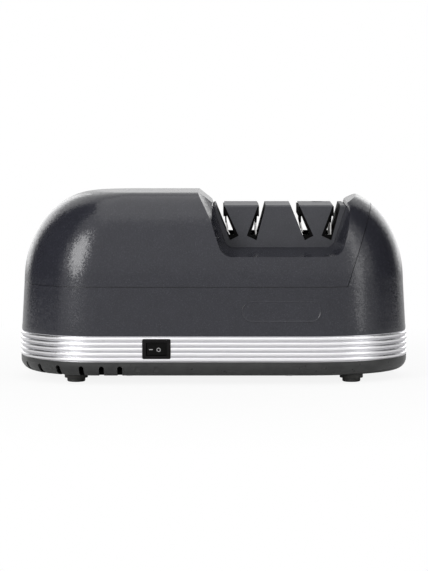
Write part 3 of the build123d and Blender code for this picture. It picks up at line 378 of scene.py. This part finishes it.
# painted shade in the recess around the rocker
RECESS_WIDTH = 1.0 * MM
RECESS_EDGE = 0.2 * MM


def in_recess(place, normal):
    beside_x = abs(place.x - rocker_middle.x) < rocker_half.x + RECESS_WIDTH
    beside_z = abs(place.z - rocker_middle.z) < rocker_half.z + RECESS_WIDTH
    return beside_x and beside_z and place.y > bezel_front_y + RECESS_EDGE


paint_shade("switch_body", in_recess)


# ------------------------------------------------------------------ pieces of the scene's own
def new_piece(name, build, material, body):
    """A mesh piece made by a bmesh function, finished and joined to its body."""
    mesh = bpy.data.meshes.new(name)
    builder = bmesh.new()
    build(builder)
    bmesh.ops.recalc_face_normals(builder, faces=builder.faces)
    builder.to_mesh(mesh)
    builder.free()
    mesh.materials.append(material)
    piece = bpy.data.objects.new(name, mesh)
    bpy.context.collection.objects.link(piece)
    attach(piece, body)
    return piece


def bridge(builder, near, far):
    """A strip of faces between two closed loops of as many points."""
    for i in range(len(near)):
        j = (i + 1) % len(near)
        builder.faces.new((near[i], near[j], far[j], far[i]))


def stadium(length, height, steps=16):
    """Outline of a stadium about the origin, with points along its straight sides too."""
    radius = height / 2
    reach = length / 2 - radius
    points = []
    for end in (1, -1):
        for step in range(steps + 1):
            turn = math.pi * (step / steps - 0.5)
            points.append((end * (reach + radius * math.cos(turn)), end * radius * math.sin(turn)))
        for step in range(1, steps):
            points.append((end * reach * (1 - 2 * step / steps), end * radius))
    return points


# blank badge plate on the front; its steps are insets from the outline with rises off the wall
BADGE_MIDDLE_X, BADGE_MIDDLE_Z = 35.85 * MM, 38.85 * MM
BADGE_LENGTH, BADGE_HEIGHT = 42.3 * MM, 11.3 * MM
BADGE_STEPS_MM = [
    (0.0, -0.3), (0.0, 0.08), (0.08, 0.2), (0.28, 0.26), (0.5, 0.2), (0.6, 0.1),
    (1.2, 0.08), (2.2, 0.08), (3.4, 0.08), (4.6, 0.08), (5.5, 0.08),
]
housing_mesh = nodes["lower_housing"].data
housing_tree = BVHTree.FromPolygons(
    [vertex.co for vertex in housing_mesh.vertices],
    [face.vertices for face in housing_mesh.polygons],
)


def front_wall(x, z):
    """Front of the lower housing at a place in the front view."""
    return housing_tree.ray_cast(Vector((x, -1, z)), Vector((0, 1, 0)))[0].y


def build_badge(builder):
    """A stadium plate that follows the wall, with a rounded rim around a bare field."""
    loops = []
    for inset_mm, rise_mm in BADGE_STEPS_MM:
        loop = []
        inset = 2 * inset_mm * MM
        for along, up in stadium(BADGE_LENGTH - inset, BADGE_HEIGHT - inset):
            x, z = BADGE_MIDDLE_X + along, BADGE_MIDDLE_Z + up
            loop.append(builder.verts.new((x, front_wall(x, z) - rise_mm * MM, z)))
        loops.append(loop)
    for near, far in zip(loops, loops[1:]):
        bridge(builder, near, far)
    builder.faces.new(loops[-1])
    builder.faces.new(reversed(loops[0]))


badge = new_piece("blank_badge", build_badge, body_pearl, "base")
for face in badge.data.polygons:
    face.use_smooth = len(face.vertices) == 4

# printed marks on the rocker, whose left half leans forward at rest
INK_HEIGHT = 0.08 * MM
ROCKER_LEAN = math.tan(math.radians(14.0))
DASH_OFFSET, DASH_HALF_LENGTH, DASH_HALF_HEIGHT = -2.9 * MM, 0.98 * MM, 0.2 * MM
RING_OFFSET, RING_OUTER, RING_INNER, RING_STEPS = 1.15 * MM, 1.06 * MM, 0.76 * MM, 48
rocker_face_y = bezel_front_y + 1.7 * MM
dash_z = rocker_middle.z - 0.3 * MM
ring_z = rocker_middle.z - 0.5 * MM


def build_dash(builder):
    """The ON mark: a short bar on the leaning half."""
    for lift in (-0.25 * INK_HEIGHT, 0.75 * INK_HEIGHT):
        for end in (-1, 1):
            along = DASH_OFFSET + end * DASH_HALF_LENGTH
            y = rocker_face_y + along * ROCKER_LEAN - lift
            for z in (dash_z - DASH_HALF_HEIGHT, dash_z + DASH_HALF_HEIGHT):
                builder.verts.new((rocker_middle.x + along, y, z))
    bmesh.ops.convex_hull(builder, input=builder.verts)


def build_ring(builder):
    """The OFF mark: a thin ring on the upright half."""
    sunk, raised = 0.5 * INK_HEIGHT, -0.5 * INK_HEIGHT
    profile = [(RING_OUTER, sunk), (RING_OUTER, raised), (RING_INNER, raised), (RING_INNER, sunk)]
    loops = []
    for radius, rise in profile:
        loop = []
        for step in range(RING_STEPS):
            turn = 2 * math.pi * step / RING_STEPS
            x = rocker_middle.x + RING_OFFSET + radius * math.cos(turn)
            z = ring_z + radius * math.sin(turn)
            loop.append(builder.verts.new((x, rocker_face_y + rise, z)))
        loops.append(loop)
    for near, far in zip(loops, loops[1:] + loops[:1]):
        bridge(builder, near, far)


new_piece("mark_on", build_dash, white_ink, "rocker")
new_piece("mark_off", build_ring, white_ink, "rocker")


# ------------------------------------------------------------------ stage
def floor_material():
    """White floor: it keeps the shadow near the object and is plain white further off."""
    graph = MaterialGraph("floor_white")
    diffuse = graph.node("ShaderNodeBsdfDiffuse", Color=(0.93, 0.93, 0.93, 1)).outputs[0]
    glow = graph.node("ShaderNodeEmission", Color=(1, 1, 1, 1), Strength=1.0).outputs[0]
    away = graph.node("ShaderNodeVectorMath")
    away.operation = "LENGTH"
    graph.link(graph.place, away.inputs[0])
    fade = graph.ramp(away.outputs["Value"], (0.08, 0.88), (0.3, 1.0))
    seen = graph.node("ShaderNodeLightPath").outputs["Is Camera Ray"]
    graph.show(graph.blend(seen, diffuse, graph.blend(fade, diffuse, glow)))
    return graph.material


floor_mesh = bpy.data.meshes.new("floor")
floor_mesh.from_pydata([(-30, -30, 0), (30, -30, 0), (30, 60, 0), (-30, 60, 0)], [], [(0, 1, 2, 3)])
floor_mesh.materials.append(floor_material())
floor = bpy.data.objects.new("floor", floor_mesh)
bpy.context.collection.objects.link(floor)

# white where it is seen, mirrored or looked through, and a soft light otherwise
world = bpy.data.worlds.new("studio")
bpy.context.scene.world = world
studio = Graph(world, "ShaderNodeOutputWorld")
ambient = studio.node("ShaderNodeBackground", Color=(1, 1, 1, 1), Strength=0.3)
white = studio.node("ShaderNodeBackground", Color=(1, 1, 1, 1))
path = studio.node("ShaderNodeLightPath").outputs
direct = studio.number("MAXIMUM", path["Is Camera Ray"], path["Is Glossy Ray"])
shown = studio.number("MAXIMUM", direct, path["Is Transmission Ray"])
studio.show(studio.blend(shown, ambient.outputs[0], white.outputs[0]))


def softbox(name, place, target, size, watts, shape="RECTANGLE"):
    """Area lamp of a width and height that faces a target."""
    lamp = bpy.data.lights.new(name, "AREA")
    lamp.shape = shape
    lamp.size, lamp.size_y = size
    lamp.energy = watts
    holder = bpy.data.objects.new(name, lamp)
    holder.location = place
    holder.rotation_euler = (Vector(target) - Vector(place)).to_track_quat("-Z", "Y").to_euler()
    bpy.context.collection.objects.link(holder)


softbox(
    "left_glow", (-0.655, -0.795, 0.4), (-0.07, -0.04, 0.07), (0.46, 0.62), watts=6.0,
    shape="ELLIPSE",
)
softbox("right_strip", (0.453, -0.286, 0.225), (0.078, -0.037, 0.225), (0.08, 0.45), watts=0.35)
softbox("left_rim", (-0.7, 1.4, 0.3), (0, 0, 0.06), (0.9, 0.9), watts=3)
softbox("right_rim", (0.7, 1.4, 0.3), (0, 0, 0.06), (0.9, 0.9), watts=3)
softbox("top_box", (0.1, -0.2, 1.5), (0, 0, 0), (1.8, 1.8), watts=9)


def flag(name, x, near_y, far_y, low_z=0.008, high_z=1.2):
    """Dark studio card beside the object, seen only in its gloss."""
    mesh = bpy.data.meshes.new(name)
    corners = [(x, near_y, low_z), (x, far_y, low_z), (x, far_y, high_z), (x, near_y, high_z)]
    mesh.from_pydata(corners, [], [(0, 1, 2, 3)])
    graph = MaterialGraph(name)
    graph.show(graph.node("ShaderNodeBsdfDiffuse", Color=(0.01, 0.01, 0.01, 1)).outputs[0])
    mesh.materials.append(graph.material)
    card = bpy.data.objects.new(name, mesh)
    card.visible_camera = card.visible_diffuse = card.visible_shadow = False
    bpy.context.collection.objects.link(card)


flag("left_flag", x=-0.5, near_y=-0.25, far_y=0.4)
flag("right_flag", x=0.6, near_y=-0.15, far_y=0.4)

# ------------------------------------------------------------------ camera
CAMERA_PLACE = (0.0001, -1.505, 0.1777)
CAMERA_DOWN_DEGREES = 4.885
camera_data = bpy.data.cameras.new("camera")
camera_data.lens = 174.9
camera_data.sensor_width = 36
camera_data.clip_end = 200
camera = bpy.data.objects.new("camera", camera_data)
camera.location = CAMERA_PLACE
camera.rotation_euler = (math.radians(90 - CAMERA_DOWN_DEGREES), 0, 0)
bpy.context.collection.objects.link(camera)
bpy.context.scene.camera = camera
bpy.context.scene.view_settings.view_transform = "Standard"
